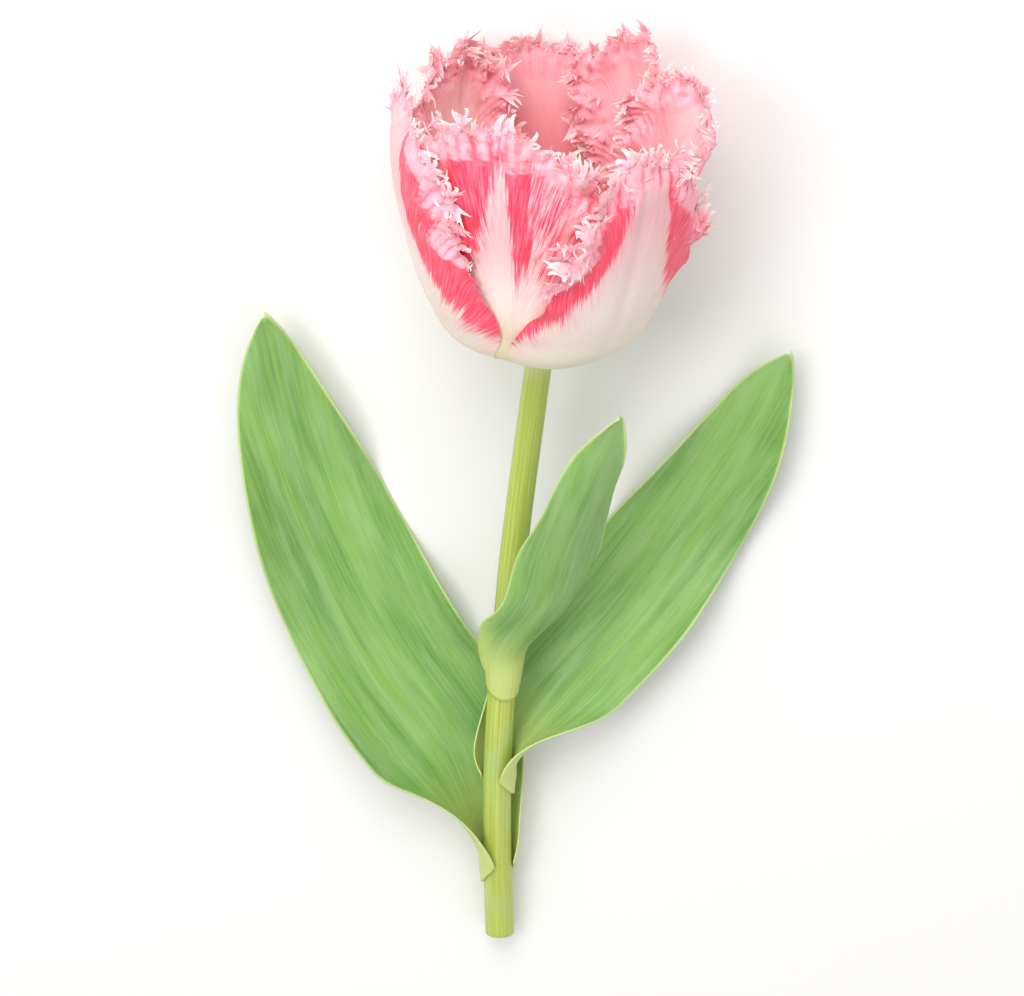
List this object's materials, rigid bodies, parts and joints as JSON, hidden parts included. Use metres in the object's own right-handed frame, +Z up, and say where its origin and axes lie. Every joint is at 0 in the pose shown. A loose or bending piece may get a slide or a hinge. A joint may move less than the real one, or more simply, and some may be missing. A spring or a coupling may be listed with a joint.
{
  "type": "fringed tulip",
  "caption": "Cut fringed tulip lying on its side: an open cup of fringed pink and white tepals on a green stem with clasping leaves.",
  "frame": {"origin": "on the surface that the flower lies on, under the middle of its bounding box", "axes": "+X along the stem from the cut end to the bloom, +Z up from the surface, towards the bloom's front"},
  "size_m": [0.2842, 0.1506, 0.0808],
  "materials": {
    "tepal": "matte, finely streaked",
    "stem": "smooth, slightly waxy",
    "leaf": "waxy, with fine lengthwise veins",
    "pistil": "smooth",
    "stamen": "powdery"
  },
  "bodies": {
    "root": {"stem": "stem", "tepal_outer_left": "tepal", "tepal_outer_right": "tepal", "tepal_outer_back": "tepal", "tepal_inner_front": "tepal", "tepal_inner_left": "tepal", "tepal_inner_back": "tepal", "tepal_inner_right": "tepal", "pistil": "pistil", "stamen_1": "stamen", "stamen_2": "stamen", "stamen_3": "stamen", "stamen_4": "stamen", "stamen_5": "stamen", "stamen_6": "stamen", "leaf_lower": "leaf", "leaf_middle": "leaf", "leaf_upper": "leaf"}
  },
  "joints": []
}
